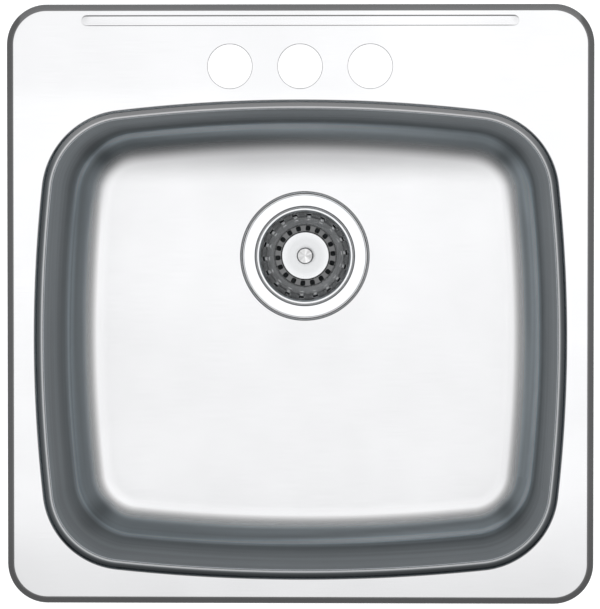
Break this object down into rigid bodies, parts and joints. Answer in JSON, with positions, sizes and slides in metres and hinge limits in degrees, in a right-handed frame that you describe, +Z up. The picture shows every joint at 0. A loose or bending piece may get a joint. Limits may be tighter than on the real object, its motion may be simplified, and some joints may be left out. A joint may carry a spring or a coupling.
{
  "type": "drop-in kitchen sink",
  "caption": "Drop-in stainless steel kitchen sink with one bowl, a faucet ledge, a lift-out basket strainer with stopper and screw-up mounting clips.",
  "frame": {"origin": "middle of the rim in plan, on the plane of the countertop that the rim's seal rests on", "axes": "+Z up, +Y to the rear where the faucet ledge is, +X to the right seen from the front"},
  "size_m": [0.5112, 0.5224, 0.3764],
  "materials": {
    "shell_steel": "satin brushed stainless steel",
    "strainer_steel": "polished stainless steel",
    "basket_steel": "polished stainless steel",
    "knob_steel": "turned and polished",
    "rail_steel": "zinc plated",
    "clip_steel": "zinc plated",
    "screw_steel": "zinc plated",
    "locknut_zinc": "die-cast zinc",
    "tube_chrome": "chrome plated",
    "nut_chrome": "chrome plated",
    "seal_foam": "closed-cell foam tape",
    "seal_putty": "soft sealing ring",
    "gasket_rubber": "matt rubber",
    "stopper_rubber": "matt rubber",
    "pad_rubber": "sound deadening pad",
    "fibre": "pressed fibre",
    "washer_plastic": "polyethylene"
  },
  "bodies": {
    "sink": {"sink_shell": "shell_steel", "rim_seal": "seal_foam", "rail_front": "rail_steel", "rail_rear": "rail_steel", "rail_left": "rail_steel", "rail_right": "rail_steel", "sound_pad": "pad_rubber", "strainer_body": "strainer_steel", "flange_seal": "seal_putty", "strainer_crossbar": "strainer_steel", "strainer_gasket": "gasket_rubber", "friction_ring": "fibre", "strainer_locknut": "locknut_zinc", "tailpiece_washer": "washer_plastic", "tailpiece": "tube_chrome", "coupling_nut": "nut_chrome"},
    "basket": {"basket_cup": "basket_steel"},
    "stopper": {"basket_post": "knob_steel", "basket_knob": "knob_steel", "stopper_seal": "stopper_rubber", "stopper_washer": "knob_steel", "post_spring_clip": "knob_steel"},
    "clip_front": {"clip_strap_front": "clip_steel"},
    "foot_front": {"clip_foot_front": "clip_steel"},
    "screw_front": {"clip_screw_front": "screw_steel"},
    "clip_rear": {"clip_strap_rear": "clip_steel"},
    "foot_rear": {"clip_foot_rear": "clip_steel"},
    "screw_rear": {"clip_screw_rear": "screw_steel"},
    "clip_left": {"clip_strap_left": "clip_steel"},
    "foot_left": {"clip_foot_left": "clip_steel"},
    "screw_left": {"clip_screw_left": "screw_steel"},
    "clip_right": {"clip_strap_right": "clip_steel"},
    "foot_right": {"clip_foot_right": "clip_steel"},
    "screw_right": {"clip_screw_right": "screw_steel"}
  },
  "joints": [
    {"name": "basket_lift", "type": "slide", "parent": "sink", "child": "basket", "axis": [0, 0, 1], "range_m": [0, 0.28]},
    {"name": "stopper_push", "type": "slide", "parent": "basket", "child": "stopper", "axis": [0, 0, -1], "range_m": [0, 0.0073]},
    {"name": "clip_slide_front", "type": "slide", "parent": "sink", "child": "clip_front", "axis": [1, 0, 0], "range_m": [-0.085, 0.085]},
    {"name": "foot_lift_front", "type": "slide", "parent": "clip_front", "child": "foot_front", "axis": [0, 0, 1], "range_m": [0, 0.02]},
    {"name": "screw_turn_front", "type": "hinge", "parent": "foot_front", "child": "screw_front", "pos_m": [0, -0.23965, -0.05], "axis": [0, 0, 1], "range_deg": [-1, 4501]},
    {"name": "clip_slide_rear", "type": "slide", "parent": "sink", "child": "clip_rear", "axis": [1, 0, 0], "range_m": [-0.085, 0.085]},
    {"name": "foot_lift_rear", "type": "slide", "parent": "clip_rear", "child": "foot_rear", "axis": [0, 0, 1], "range_m": [0, 0.02]},
    {"name": "screw_turn_rear", "type": "hinge", "parent": "foot_rear", "child": "screw_rear", "pos_m": [0, 0.23965, -0.05], "axis": [0, 0, 1], "range_deg": [-1, 4501]},
    {"name": "clip_slide_left", "type": "slide", "parent": "sink", "child": "clip_left", "axis": [0, 1, 0], "range_m": [-0.085, 0.085]},
    {"name": "foot_lift_left", "type": "slide", "parent": "clip_left", "child": "foot_left", "axis": [0, 0, 1], "range_m": [0, 0.02]},
    {"name": "screw_turn_left", "type": "hinge", "parent": "foot_left", "child": "screw_left", "pos_m": [-0.2341, -0.031, -0.05], "axis": [0, 0, 1], "range_deg": [-1, 4501]},
    {"name": "clip_slide_right", "type": "slide", "parent": "sink", "child": "clip_right", "axis": [0, 1, 0], "range_m": [-0.085, 0.085]},
    {"name": "foot_lift_right", "type": "slide", "parent": "clip_right", "child": "foot_right", "axis": [0, 0, 1], "range_m": [0, 0.02]},
    {"name": "screw_turn_right", "type": "hinge", "parent": "foot_right", "child": "screw_right", "pos_m": [0.2341, -0.031, -0.05], "axis": [0, 0, 1], "range_deg": [-1, 4501]}
  ],
  "couplings": [
    {"joint": "screw_turn_front", "follows": "foot_lift_front", "rad_per_m": 3927},
    {"joint": "screw_turn_rear", "follows": "foot_lift_rear", "rad_per_m": 3927},
    {"joint": "screw_turn_left", "follows": "foot_lift_left", "rad_per_m": 3927},
    {"joint": "screw_turn_right", "follows": "foot_lift_right", "rad_per_m": 3927}
  ]
}
